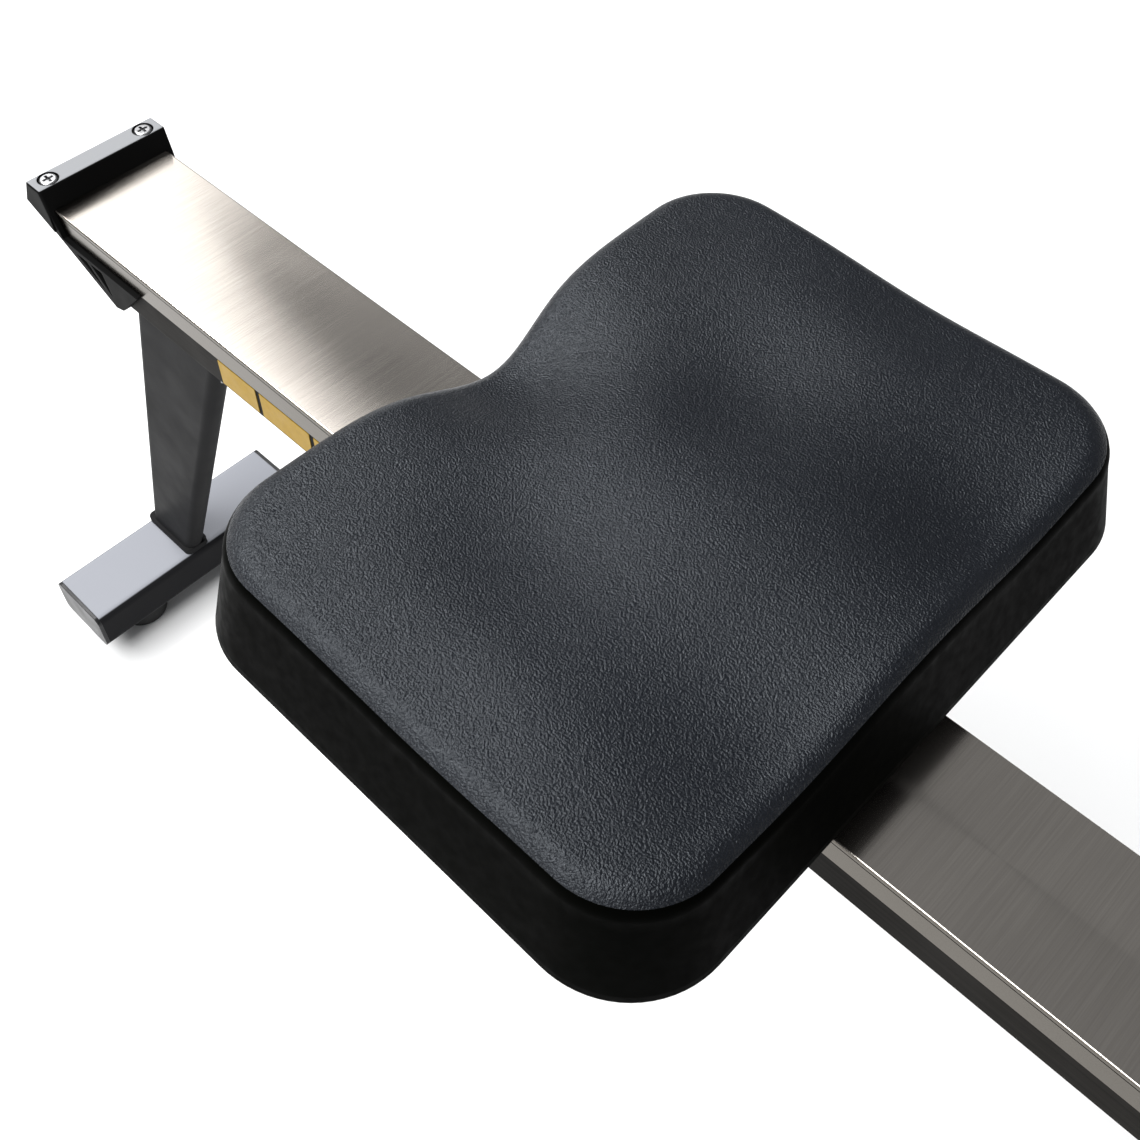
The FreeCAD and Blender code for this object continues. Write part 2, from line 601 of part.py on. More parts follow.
def vent(low, high, first, last, y):
    """One curved window between two radii and two angles, right through a side."""
    corners = []
    for r, angles in ((high, (first, last)), (low, (last, first))):
        middle = (first + last) / 2
        turns = (angles[0], middle, angles[1])
        ends = [V(FAN_X + polar(r, a)[0], y[0], FAN_Z + polar(r, a)[1]) for a in turns]
        corners.append(Part.Arc(*ends).toShape())
    sides = [
        Part.makeLine(corners[0].Vertexes[1].Point, corners[1].Vertexes[0].Point),
        Part.makeLine(corners[1].Vertexes[1].Point, corners[0].Vertexes[0].Point),
    ]
    outline = Part.Wire([corners[0], sides[0], corners[1], sides[1]])
    return Part.Face(outline).extrude(V(0, y[1] - y[0], 0))


def vents(y):
    pitch = 360.0 / VENT_COUNT
    return Part.makeCompound([
        vent(VENT_INNER, VENT_OUTER, k * pitch, k * pitch + VENT_ANGLE, y) for k in range(VENT_COUNT)])


def cage_inner_side():
    disc = ring("y", (FAN_X, FAN_Z), CAGE_RADIUS, BOSS_RADIUS + 10, CAGE_IN, CAGE_IN + CAGE_WALL)
    return disc.cut(vents((CAGE_IN - 1, CAGE_IN + CAGE_WALL + 1)))


def cage_outer_side():
    disc = rod("y", (FAN_X, FAN_Z), CAGE_RADIUS, CAGE_OUT - CAGE_WALL, CAGE_OUT)
    boss = rod("y", (FAN_X, FAN_Z), BOSS_RADIUS, CAGE_OUT, CAGE_OUT + 4)
    bore = rod("y", (FAN_X, FAN_Z), BEARING_RADIUS, CAGE_OUT - 10, CAGE_OUT + 10)
    return joined(disc, boss).cut(bore).cut(vents((CAGE_OUT - 10, CAGE_OUT + 10)))


def cage_rim():
    low = CAGE_IN + CAGE_WALL
    high = CAGE_OUT - CAGE_WALL
    band = ring("y", (FAN_X, FAN_Z), CAGE_RADIUS, CAGE_RADIUS - CAGE_WALL, low, high)
    count = 30
    slots = []
    for k in range(count):
        slot = box((FAN_X + CAGE_RADIUS - 10, FAN_X + CAGE_RADIUS + 10), (low + 16, high - 16),
                   (FAN_Z - 14, FAN_Z + 14))
        slot.rotate(V(FAN_X, 0, FAN_Z), V(0, 1, 0), 360.0 / count * (k + 0.5))
        slots.append(slot)
    return band.cut(Part.makeCompound(slots))


def damper_ring():
    """A shutter over the outer vents, with a finger lever on its edge."""
    low = CAGE_OUT + 0.4
    high = low + 2.4
    disc = ring("y", (FAN_X, FAN_Z), VENT_OUTER + 14, BOSS_RADIUS + RUNNING_GAP, low, high)
    lever = box((FAN_X - VENT_OUTER - 34, FAN_X - VENT_OUTER - 8), (low, high + 8), (FAN_Z - 9, FAN_Z + 9))
    return joined(disc, softened(lever, "y", 5.0)).cut(vents((low - 1, high + 1)))


def fan_axle():
    return rod("y", (FAN_X, FAN_Z), AXLE_RADIUS, -PLATE_OUT - 4, CAGE_OUT + 8)


def fan_wheel():
    """A hub, a disc and radial blades."""
    middle = (CAGE_IN + CAGE_OUT) / 2
    hub = rod("y", (FAN_X, FAN_Z), 26.0, middle - 30, middle + 30)
    disc = rod("y", (FAN_X, FAN_Z), 205.0, middle - 2, middle + 2)
    pieces = [hub, disc]
    count = 24
    for k in range(count):
        blade = box((FAN_X + 95, FAN_X + 225), (middle - 55, middle + 55), (FAN_Z - 1.2, FAN_Z + 1.2))
        blade.rotate(V(FAN_X, 0, FAN_Z), V(0, 1, 0), 360.0 / count * k)
        pieces.append(blade)
    return joined(*pieces).cut(rod("y", (FAN_X, FAN_Z), AXLE_RADIUS, middle - 60, middle + 60))


def strap_pulley():
    """The drum that the strap turns; a one-way clutch inside it drives the axle."""
    groove = DRUM_RADIUS - STRAP_THICK / 2 - FREE_GAP
    barrel = rod("y", (FAN_X, FAN_Z), groove, -13, 13)
    flanges = [rod("y", (FAN_X, FAN_Z), groove + 7, a, b) for a, b in ((-14.5, -11.5), (11.5, 14.5))]
    return joined(barrel, *flanges).cut(rod("y", (FAN_X, FAN_Z), AXLE_RADIUS + RUNNING_GAP, -20, 20))


# ---- Footrests ----

def on_pedal(shape):
    """Places a shape made flat, with its heel end at the origin, on the slanted footrest."""
    shape.rotate(V(0, 0, 0), V(0, 1, 0), -PLATE_TILT)
    shape.translate(V(HEEL_X, 0, HEEL_Z))
    return shape


def foot_plate():
    deck = softened(box((0, PEDAL_LENGTH), (PEDAL_IN, PEDAL_OUT), (-PEDAL_THICK, 0)), "z", 12.0)
    width = (PEDAL_IN + 10, PEDAL_OUT - 10)
    ribs = [box((x, x + 4), width, (0, 1.5)) for x in (240.0, 255.0, 270.0, 285.0)]
    plate = on_pedal(joined(deck, *ribs))
    under = HEEL_Z - HEEL_X - PEDAL_THICK * math.sqrt(2)
    outline = [(BEAM_LOW + 5 - under, BEAM_LOW + 5), (BEAM_HIGH - 5 - under, BEAM_HIGH - 5),
               (BEAM_HIGH + 35 - under, BEAM_HIGH - 5), (BEAM_HIGH - 15 - under, BEAM_LOW + 5)]
    bracket = prism("y", outline, BEAM_HALF, PEDAL_IN + 26)
    return joined(plate, bracket)


def heel_cup():
    """The cup that slides up and down the plate to suit the foot."""
    shell = box((0, 130), (46, 142), (FREE_GAP, 45))
    shell = softened(shell, "z", 18.0)
    inside = softened(box((4, 170), (50, 138), (3.3, 60)), "z", 14.0)
    taper = prism("y", [(35, 46), (118, 3.3), (140, 3.3), (140, 60), (35, 60)], 40, 150)
    return on_pedal(shell.cut(Part.makeCompound([inside, taper])))


def foot_strap():
    """A webbing strap arched over the foot, as a plain band."""
    arcs = []
    for inset in (0.0, 2.4):
        arcs.append(Part.Arc(V(190, 44 + inset, 0), V(190, 94, 72 - inset), V(190, 144 - inset, 0)).toShape())
    caps = [
        Part.makeLine(arcs[0].Vertexes[1].Point, arcs[1].Vertexes[1].Point),
        Part.makeLine(arcs[1].Vertexes[0].Point, arcs[0].Vertexes[0].Point),
    ]
    outline = Part.Wire(Part.__sortEdges__([arcs[0], caps[0], arcs[1], caps[1]]))
    return on_pedal(Part.Face(outline).extrude(V(38, 0, 0)))


def foot_buckle():
    frame = softened(box((186, 232), (147.9, 151.4), (8, 30)), "y", 3.0)
    slot = box((191, 227), (140, 160), (16, 22))
    return on_pedal(frame.cut(slot))


# ---- Seat ----

def seat_outline(inset, z):
    half = SEAT_LENGTH / 2 - inset
    return rounded_wire((SEAT_X - half, SEAT_X + half), SEAT_HALF - inset, z, SEAT_CORNER - inset / 2)


def seat_pad():
    """The moulded seat, as a plain block of the right outline that narrows to its rounded top."""
    block = Part.makeLoft([seat_outline(0, SEAT_LOW), seat_outline(SEAT_DRAFT, SEAT_HIGH)], True)
    rim = [e for e in block.Edges if abs(e.CenterOfMass.z - SEAT_HIGH) < 0.01]
    return block.makeFillet(SEAT_RIM, rim)


def carriage_frame():
    """The folded steel channel under the seat, open over the rollers."""
    length = 92.0
    top = SEAT_LOW
    span = (SEAT_X - length, SEAT_X + length)
    plate = box(span, (-CARRIAGE_HALF, CARRIAGE_HALF), (top - CARRIAGE_WALL, top))
    side = box(span, (CARRIAGE_HALF - CARRIAGE_WALL, CARRIAGE_HALF), (HEAD_BOTTOM - 26.0, top))
    lighter = softened(box((SEAT_X - 34, SEAT_X + 34), (CARRIAGE_HALF - 5, CARRIAGE_HALF + 1),
                           (HEAD_BOTTOM - 30.0, RAIL_TOP - 8)), "y", 8.0)
    holes = [rod("y", p, 4.0, -CARRIAGE_HALF - 1, CARRIAGE_HALF + 1) for p in roller_places()]
    channel = joined(plate, side, mirrored(side))
    return channel.cut(Part.makeCompound([lighter, mirrored(lighter)] + holes))


def top_roller_z():
    return RAIL_TOP + FREE_GAP + ROLLER_RADIUS


def low_roller_z():
    return HEAD_BOTTOM - FREE_GAP - LOW_ROLLER_RADIUS


def roller_places():
    top = [(SEAT_X + s * ROLLER_SPREAD, top_roller_z()) for s in (-1, 1)]
    return top + [(SEAT_X + s * LOW_ROLLER_SPREAD, low_roller_z()) for s in (-1, 1)]


def carriage_axles():
    """Two long axles for the top rollers and a stub for each lower roller."""
    places = roller_places()
    long_ones = [rod("y", p, 4.0, -CARRIAGE_HALF - 3, CARRIAGE_HALF + 3) for p in places[:2]]
    stubs = [rod("y", p, 4.0, 24.0, CARRIAGE_HALF + 3) for p in places[2:]]
    return Part.makeCompound(long_ones + stubs + [mirrored(s) for s in stubs])


def roller_pair(place, radius, low, high):
    """A roller on each side of the rail, in the same place along it."""
    roller = ring("y", place, radius, 4.0 + RUNNING_GAP, low, high)
    rim = [e for e in roller.Edges if e.Curve.TypeId == "Part::GeomCircle" and e.Curve.Radius > radius - 1]
    return both_sides(roller.makeFillet(1.0, rim))


# ---- Monitor ----

def monitor_arm():
    """A pivoting stem with a barrel at each end."""
    foot = rod("y", (ARM_X, ARM_Z), 9.0, FREE_GAP - PLATE_IN, PLATE_IN - FREE_GAP)
    pin = rod("y", (ARM_X, ARM_Z), PIN_RADIUS - RUNNING_GAP, -PLATE_OUT - 3, PLATE_OUT + 3)
    head = rod("y", (TILT_X, TILT_Z), 9.0, -20, 20)
    run = V(TILT_X - ARM_X, 0, TILT_Z - ARM_Z)
    stem = Part.makeCylinder(8.0, run.Length, V(ARM_X, 0, ARM_Z), run)
    bore = rod("y", (TILT_X, TILT_Z), 4.0 + RUNNING_GAP, -30, 30)
    return joined(foot, pin, stem, head).cut(bore)


def monitor_case():
    """The display's housing, with two lugs and the pin that it tilts on."""
    shell = box((CASE_FRONT, CASE_BACK), (-CASE_HALF, CASE_HALF), (CASE_LOW, CASE_HIGH))
    shell = softened(shell, "x", 14.0)
    window = box((CASE_FRONT - 1, CASE_FRONT + 1.5), (-62, 62), (965, 1050))
    hollows = [rod("x", (y, BUTTON_Z), BUTTON_RADIUS + FREE_GAP, CASE_FRONT - 1, CASE_FRONT + 6)
               for y in (-40, 0, 40)]
    clearance = box((CASE_BACK - 6, CASE_BACK + 1), (-22, 22), (TILT_Z - 24, TILT_Z + 24))
    lug = softened(box((CASE_BACK - 6, TILT_X + 8), (20.3, 26), (TILT_Z - 8, TILT_Z + 8)), "y", 5.0)
    pin = rod("y", (TILT_X, TILT_Z), 4.0, -26, 26)
    body = shell.cut(Part.makeCompound([window, clearance] + hollows))
    return joined(body, lug, mirrored(lug), pin)


def monitor_screen():
    return box((CASE_FRONT + 0.3, CASE_FRONT + 1.5), (-62, 62), (965, 1050))


def monitor_button(y):
    button = rod("x", (y, BUTTON_Z), BUTTON_RADIUS, CASE_FRONT - 2.5, CASE_FRONT + 4)
    return button.makeFillet(0.8, [e for e in button.Edges if e.CenterOfMass.x < CASE_FRONT - 2])


# ---- Transport wheels ----

def wheel_fork():
    """Two cheeks, a back plate and the axle for one transport wheel."""
    face = FRONT_BAR_X + BAR_LENGTH_X / 2
    cheeks = []
    for side in (-1, 1):
        inner = WHEEL_Y + side * (WHEEL_HALF + 1)
        outer = WHEEL_Y + side * (WHEEL_HALF + 4)
        cheeks.append(softened(box((face, WHEEL_X + 10), (min(inner, outer), max(inner, outer)),
                                   (WHEEL_Z - 10, WHEEL_Z + 10)), "y", 4.0))
    width = (WHEEL_Y - WHEEL_HALF - 4, WHEEL_Y + WHEEL_HALF + 4)
    back = box((face, face + 3), width, (WHEEL_Z - 10, WHEEL_Z + 10))
    axle = rod("y", (WHEEL_X, WHEEL_Z), PIN_RADIUS, WHEEL_Y - WHEEL_HALF - 7, WHEEL_Y + WHEEL_HALF + 7)
    return joined(back, axle, *cheeks)


def transport_wheel():
    tyre = rod("y", (WHEEL_X, WHEEL_Z), WHEEL_RADIUS, WHEEL_Y - WHEEL_HALF, WHEEL_Y + WHEEL_HALF)
    tyre = tyre.makeFillet(4.0, [e for e in tyre.Edges if e.Curve.TypeId == "Part::GeomCircle"])
    bore = rod("y", (WHEEL_X, WHEEL_Z), PIN_RADIUS + RUNNING_GAP, 0, FRONT_BAR_HALF)
    dish = ring("y", (WHEEL_X, WHEEL_Z), 24.0, 12.0, WHEEL_Y + WHEEL_HALF - 4, WHEEL_Y + WHEEL_HALF + 1)
    return tyre.cut(Part.makeCompound([bore, dish]))


def rail_nodes():
    save("rail_beam", rail_beam())
    save("rail_track", rail_track())
    save("rail_end_cap", rail_end_cap())
    save("end_cap_screws", Part.makeCompound([cap_screw(-CAP_SCREW_Y), cap_screw(CAP_SCREW_Y)]))
    save("caution_labels", caution_labels())
    save("track_stops", both_sides(track_stop()))
    save("rail_coupling", rail_coupling())
    save("frame_bolts", frame_bolts())


def stand_nodes():
    save("rear_leg", rear_leg())
    save("rear_crossbar", crossbar(REAR_BAR_X, REAR_BAR_HALF))
    save("front_leg", front_leg())
    save("front_crossbar", crossbar(FRONT_BAR_X, FRONT_BAR_HALF))
    save("crossbar_caps", crossbar_caps())
    save("rubber_feet", rubber_feet())
    save("wheel_forks", both_sides(wheel_fork()))
    save("transport_wheel_left", transport_wheel())
    save("transport_wheel_right", mirrored(transport_wheel()))


def beam_nodes():
    save("main_beam", main_beam())
    save("beam_front_plug", beam_front_plug())
    save("beam_fittings", beam_fittings())
    save("idler_wheel", sheave(IDLER_X, BEAM_MID, SHEAVE_RADIUS - STRAP_THICK / 2 - FREE_GAP))
    save("take_up_block", take_up_block())
    save("take_up_wheel", sheave(TAKE_UP_X, BEAM_MID, SHEAVE_RADIUS - STRAP_THICK / 2 - FREE_GAP))
    save("return_cord", return_cord())
    save("strap_loop", strap_loop())
    save("strap_top_run", strap_top_run())


def handle_nodes():
    save("handle_bar", handle_bar())
    save("handle_grips", both_sides(handle_grip()))
    save("handle_yoke", handle_yoke())
    save("handle_hook", both_sides(hook_arm()))


def fan_nodes():
    save("fan_brackets", both_sides(bracket_plate()))
    save("axle_bearings", axle_bearings())
    save("strap_guide", strap_guide())
    save("cage_inner_side", cage_inner_side())
    save("cage_outer_side", cage_outer_side())
    save("cage_rim", cage_rim())
    save("damper_ring", damper_ring())
    save("fan_axle", fan_axle())
    save("fan_wheel", fan_wheel())
    save("strap_pulley", strap_pulley())


def footrest_nodes():
    for side, turn in (("left", lambda s: s), ("right", mirrored)):
        save(f"foot_plate_{side}", turn(foot_plate()))
        save(f"heel_cup_{side}", turn(heel_cup()))
        save(f"foot_strap_{side}", turn(foot_strap()))
    save("foot_buckles", both_sides(foot_buckle()))


def seat_nodes():
    save("seat_pad", seat_pad())
    save("carriage_frame", carriage_frame())
    save("carriage_axles", carriage_axles())
    rear_top, front_top, rear_low, front_low = roller_places()
    save("rear_top_rollers", roller_pair(rear_top, ROLLER_RADIUS, 19.0, 35.0))
    save("front_top_rollers", roller_pair(front_top, ROLLER_RADIUS, 19.0, 35.0))
    save("rear_low_rollers", roller_pair(rear_low, LOW_ROLLER_RADIUS, 26.0, 40.0))
    save("front_low_rollers", roller_pair(front_low, LOW_ROLLER_RADIUS, 26.0, 40.0))


def monitor_nodes():
    save("monitor_arm", monitor_arm())
    save("monitor_case", monitor_case())
    save("monitor_screen", monitor_screen())
    for name, y in (("menu", -40), ("units", 0), ("light", 40)):
        save(f"button_{name}", monitor_button(y))


os.makedirs("parts", exist_ok=True)
rail_nodes()
stand_nodes()
beam_nodes()
handle_nodes()
fan_nodes()
footrest_nodes()
seat_nodes()
monitor_nodes()
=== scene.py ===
import math

import bpy
from mathutils import Matrix, Vector


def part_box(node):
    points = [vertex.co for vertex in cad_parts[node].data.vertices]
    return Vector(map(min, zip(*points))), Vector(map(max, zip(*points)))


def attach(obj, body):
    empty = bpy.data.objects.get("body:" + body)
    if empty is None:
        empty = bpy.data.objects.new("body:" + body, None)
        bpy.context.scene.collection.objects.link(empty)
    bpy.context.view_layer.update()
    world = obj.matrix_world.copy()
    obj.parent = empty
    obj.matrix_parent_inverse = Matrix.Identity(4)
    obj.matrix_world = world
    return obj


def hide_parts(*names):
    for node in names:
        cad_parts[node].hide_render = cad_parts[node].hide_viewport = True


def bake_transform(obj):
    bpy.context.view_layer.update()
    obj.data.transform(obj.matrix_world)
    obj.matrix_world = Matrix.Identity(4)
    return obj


# An air rowing machine, finished on its CAD frame. Metres, +Z up, +X from the seat to the fan.

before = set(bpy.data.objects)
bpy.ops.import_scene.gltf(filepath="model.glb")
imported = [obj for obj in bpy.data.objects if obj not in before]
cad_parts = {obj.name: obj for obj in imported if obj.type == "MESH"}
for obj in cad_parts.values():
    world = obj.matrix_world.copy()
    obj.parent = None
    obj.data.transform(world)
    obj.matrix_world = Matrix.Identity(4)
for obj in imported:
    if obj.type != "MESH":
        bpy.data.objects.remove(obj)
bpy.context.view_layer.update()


def middle(node):
    low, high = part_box(node)
    return (Vector(low) + Vector(high)) / 2


RAIL_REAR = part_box("rail_track")[0][0]
RAIL_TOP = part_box("rail_track")[1][2]
DRUM = middle("strap_pulley")
IDLER = middle("idler_wheel")
TAKE_UP = middle("take_up_wheel")
STRAP_HALF = 0.010
STRAP_THICK = 0.002
DRUM_RADIUS = 0.032
SHEAVE_RADIUS = 0.028
STRAP_ANCHOR = 0.093
ARC_STEPS = 12
RUN_STEPS = 24
CORD_RADIUS = 0.004
CORD_TURN = 0.010
CORD_BEND_STEPS = 14
CORD_LEG_STEPS = 40


# ---- Materials ----

class Finish:
    """A principled material and the few node shapes that the finishes are made from."""

    def __init__(self, name, colour, rough, metal=0.0, **sockets):
        self.material = bpy.data.materials.new(name)
        self.material.use_nodes = True
        self.tree = self.material.node_tree
        self.shader = self.tree.nodes["Principled BSDF"]
        self.set("Base Color", (*colour, 1.0))
        self.set("Roughness", rough)
        self.set("Metallic", metal)
        for socket, value in sockets.items():
            self.set(socket.replace("_", " "), value)
        self.height = None

    def set(self, socket, value):
        self.shader.inputs[socket].default_value = value

    def node(self, kind, **settings):
        made = self.tree.nodes.new("ShaderNode" + kind)
        for name, value in settings.items():
            setattr(made, name, value)
        return made

    def link(self, source, target):
        self.tree.links.new(source, target)

    def place(self, stretch=(1, 1, 1), turn=(0, 0, 0)):
        """The surface's own place in metres, stretched along each axis."""
        mapping = self.node("Mapping")
        mapping.inputs["Scale"].default_value = stretch
        mapping.inputs["Rotation"].default_value = turn
        self.link(self.node("TexCoord").outputs["Object"], mapping.inputs["Vector"])
        return mapping.outputs["Vector"]

    def noise(self, scale, detail=3.0, rough=0.5, stretch=(1, 1, 1)):
        made = self.node("TexNoise")
        made.inputs["Scale"].default_value = scale
        made.inputs["Detail"].default_value = detail
        made.inputs["Roughness"].default_value = rough
        self.link(self.place(stretch), made.inputs["Vector"])
        return made.outputs["Fac"]

    def cells(self, scale):
        made = self.node("TexVoronoi", feature="F1")
        made.inputs["Scale"].default_value = scale
        self.link(self.place(), made.inputs["Vector"])
        return made.outputs["Distance"]

    def bands(self, scale, axis="X", turn=(0, 0, 0)):
        made = self.node("TexWave", wave_type="BANDS", bands_direction=axis, wave_profile="SIN")
        made.inputs["Scale"].default_value = scale
        self.link(self.place(turn=turn), made.inputs["Vector"])
        return made.outputs["Fac"]

    def ramp(self, fac, stops):
        """A value remapped through (position, grey or colour) stops."""
        made = self.node("ValToRGB")
        points = made.color_ramp.elements
        while len(points) < len(stops):
            points.new(0.5)
        for point, (position, shade) in zip(points, stops):
            point.position = position
            point.color = (*shade, 1.0) if isinstance(shade, tuple) else (shade, shade, shade, 1.0)
        self.link(fac, made.inputs["Fac"])
        return made.outputs["Color"]

    def mix(self, fac, a, b):
        """Mixes two colours by an output; each is an output or a plain colour."""
        made = self.node("Mix", data_type="RGBA", blend_type="MIX")
        self.link(fac, made.inputs[0])
        for socket, value in zip(made.inputs[6:8], (a, b)):
            if isinstance(value, bpy.types.NodeSocket):
                self.link(value, socket)
            else:
                socket.default_value = (*value, 1.0)
        return made.outputs[2]

    def times(self, a, b):
        made = self.node("Math", operation="MULTIPLY")
        self.link(a, made.inputs[0])
        self.link(b, made.inputs[1])
        return made.outputs[0]

    def above(self, height):
        """1 above a height, 0 below it."""
        parts = self.node("SeparateXYZ")
        self.link(self.node("TexCoord").outputs["Object"], parts.inputs["Vector"])
        made = self.node("Math", operation="GREATER_THAN")
        self.link(parts.outputs["Z"], made.inputs[0])
        made.inputs[1].default_value = height
        return made.outputs[0]

    def facing_up(self):
        """1 on faces turned up, 0 on the sides: the mask of the painted reflections."""
        parts = self.node("SeparateXYZ")
        self.link(self.node("NewGeometry").outputs["Normal"], parts.inputs["Vector"])
        return self.ramp(parts.outputs["Z"], [(0.80, 0.0), (0.90, 1.0)])

    def colour(self, output):
        self.link(output, self.shader.inputs["Base Color"])

    def rough(self, output):
        self.link(output, self.shader.inputs["Roughness"])

    def bump(self, height, strength, distance):
        """Adds a layer of relief over the ones before it."""
        made = self.node("Bump")
        made.inputs["Strength"].default_value = strength
        made.inputs["Distance"].default_value = distance
        self.link(height, made.inputs["Height"])
        if self.height is not None:
            self.link(self.height, made.inputs["Normal"])
        self.height = made.outputs["Normal"]
        self.link(self.height, self.shader.inputs["Normal"])

    def soft_edges(self, radius):
        """Rounds sharp edges in the shading."""
        made = self.node("Bevel", samples=4)
        made.inputs["Radius"].default_value = radius
        self.height = made.outputs["Normal"]
        self.link(self.height, self.shader.inputs["Normal"])


def brushed_track():
    """Stainless steel brushed across the rail, with faint smudges; its sides and rounded top edges
    darker, partly a duller side finish and partly painted shade that holds back the edges' glint.
    """
    steel = Finish("stainless_brushed", (0.50, 0.47, 0.44), 0.24, 1.0,
                   Anisotropic=0.6, Anisotropic_Rotation=0.25)
    around = steel.node("Tangent", direction_type="RADIAL", axis="Z")
    steel.link(around.outputs["Tangent"], steel.shader.inputs["Tangent"])
    streaks = steel.noise(1.0, 4.0, 0.6, stretch=(1500, 25, 25))
    smudges = steel.noise(12.0, 3.0, 0.5)
    tone = steel.ramp(streaks, [(0.3, (0.46, 0.422, 0.385)), (0.7, (0.54, 0.50, 0.455))])
    # Below the flat top the steel takes a dark tone: a duller side finish, and painted shade over the
    # rounded edges' glint.
    top = steel.above(RAIL_TOP - 0.0005)
    steel.colour(steel.mix(top, (0.10, 0.089, 0.074), tone))
    steel.rough(steel.ramp(smudges, [(0.3, 0.17), (0.75, 0.23)]))
    steel.bump(streaks, 0.1, 0.00005)
    return steel.material


def dark_extrusion():
    """Anodised aluminium, near black with a brown cast, drawn lengthways."""
    metal = Finish("anodised_dark", (0.012, 0.011, 0.010), 0.42, Specular_IOR_Level=0.015)
    metal.soft_edges(0.0006)
    lines = metal.noise(1.0, 3.0, 0.55, stretch=(10, 900, 900))
    metal.colour(metal.ramp(lines, [(0.3, (0.007, 0.0064, 0.0056)), (0.7, (0.014, 0.0126, 0.011))]))
    metal.rough(metal.ramp(metal.noise(30.0, 4.0), [(0.3, 0.36), (0.7, 0.5)]))
    metal.bump(lines, 0.1, 0.00006)
    return metal.material


def satin_plastic(name, colour, rough=0.36, shine=0.25, top=None):
    """Moulded plastic, spark-eroded; `top` is a painted reflection, a paler tone on faces turned up
    above the rail.
    """
    plastic = Finish(name, colour, rough, Specular_IOR_Level=shine)
    plastic.soft_edges(0.0009)
    lighter = tuple(min(1.0, c * 1.35 + 0.004) for c in colour)
    tone = plastic.mix(plastic.noise(9.0, 4.0), colour, lighter)
    if top:
        # Painted reflection: faces turned up above the rail take the paler `top` tone.
        upper = plastic.times(plastic.facing_up(), plastic.above(RAIL_TOP))
        tone = plastic.mix(upper, tone, top)
    plastic.colour(tone)
    plastic.rough(plastic.ramp(plastic.noise(60.0, 4.0), [(0.3, rough - 0.06), (0.75, rough + 0.08)]))
    plastic.bump(plastic.noise(1400.0, 2.0), 0.3, 0.00006)
    return plastic.material


def powder_coat(name, colour, rough, shine, top=None):
    """Satin paint with a slight orange peel; `top` is a painted reflection, a paler tone on faces
    turned up.
    """
    paint = Finish(name, colour, rough, Specular_IOR_Level=shine)
    paint.soft_edges(0.0012)
    lighter = tuple(c * 1.15 for c in colour)
    tone = paint.mix(paint.noise(6.0, 3.0), colour, lighter)
    if top:
        # Painted reflection: faces turned up take the paler `top` tone.
        tone = paint.mix(paint.facing_up(), tone, top)
    paint.colour(tone)
    paint.rough(paint.ramp(paint.noise(45.0, 3.0), [(0.3, rough - 0.05), (0.7, rough + 0.06)]))
    paint.bump(paint.noise(420.0, 2.0), 0.15, 0.0001)
    return paint.material


def bright_zinc():
    """Plated steel with fine turning marks."""
    zinc = Finish("bright_zinc", (0.42, 0.42, 0.43), 0.3, 1.0)
    zinc.soft_edges(0.0004)
    marks = zinc.noise(700.0, 3.0)
    shades = [(0.3, (0.26, 0.26, 0.265)), (0.7, (0.36, 0.36, 0.365))]
    zinc.colour(zinc.ramp(zinc.noise(70.0, 3.0), shades))
    zinc.rough(zinc.ramp(marks, [(0.3, 0.24), (0.7, 0.40)]))
    zinc.bump(marks, 0.1, 0.00004)
    return zinc.material


def satin_steel():
    """Pressed steel sheet with a dull zinc coat and a faint spangle."""
    steel = Finish("satin_zinc", (0.42, 0.42, 0.43), 0.42, 1.0)
    steel.soft_edges(0.0006)
    spangle = steel.cells(140.0)
    steel.colour(steel.ramp(spangle, [(0.0, (0.36, 0.36, 0.37)), (0.9, (0.47, 0.47, 0.48))]))
    steel.rough(steel.ramp(steel.noise(90.0, 4.0), [(0.3, 0.34), (0.7, 0.52)]))
    return steel.material


def printed_vinyl():
    """Yellow vinyl with a satin laminate and slightly worn edges."""
    vinyl = Finish("vinyl_yellow", (0.32, 0.20, 0.018), 0.4, Specular_IOR_Level=0.12)
    wear = vinyl.noise(240.0, 5.0, 0.7)
    shades = [(0.25, (0.28, 0.170, 0.014)), (0.6, (0.32, 0.198, 0.018)), (0.85, (0.36, 0.235, 0.035))]
    vinyl.colour(vinyl.ramp(wear, shades))
    vinyl.rough(vinyl.ramp(vinyl.noise(80.0, 3.0), [(0.3, 0.34), (0.7, 0.5)]))
    vinyl.bump(vinyl.noise(900.0, 2.0), 0.2, 0.00003)
    return vinyl.material


def moulded_rubber(name, colour=(0.018, 0.018, 0.018), grain=700.0):
    rubber = Finish(name, colour, 0.72, Specular_IOR_Level=0.3)
    rubber.soft_edges(0.0008)
    dust = rubber.noise(35.0, 5.0, 0.6)
    lighter = tuple(c * 1.7 + 0.004 for c in colour)
    rubber.colour(rubber.mix(dust, colour, lighter))
    rubber.rough(rubber.ramp(dust, [(0.3, 0.62), (0.7, 0.82)]))
    rubber.bump(rubber.noise(grain, 3.0), 0.4, 0.00015)
    return rubber.material


def pebbled_skin():
    """Self-skinned foam: charcoal with a close pebble grain that catches the light."""
    skin = Finish("seat_skin", (0.003, 0.0036, 0.0058), 0.40, Specular_IOR_Level=0.36)
    skin.shader.inputs["Specular Tint"].default_value = (0.88, 0.94, 1.0, 1.0)
    pebbles = skin.noise(1150.0, 1.5, 0.55)
    drift = skin.noise(7.0, 3.0)
    skin.colour(skin.ramp(drift, [(0.3, (0.0022, 0.0028, 0.0048)), (0.7, (0.0036, 0.0044, 0.0070))]))
    skin.rough(skin.ramp(skin.noise(420.0, 3.0), [(0.3, 0.32), (0.7, 0.42)]))
    skin.bump(pebbles, 1.0, 0.0007)
    return skin.material


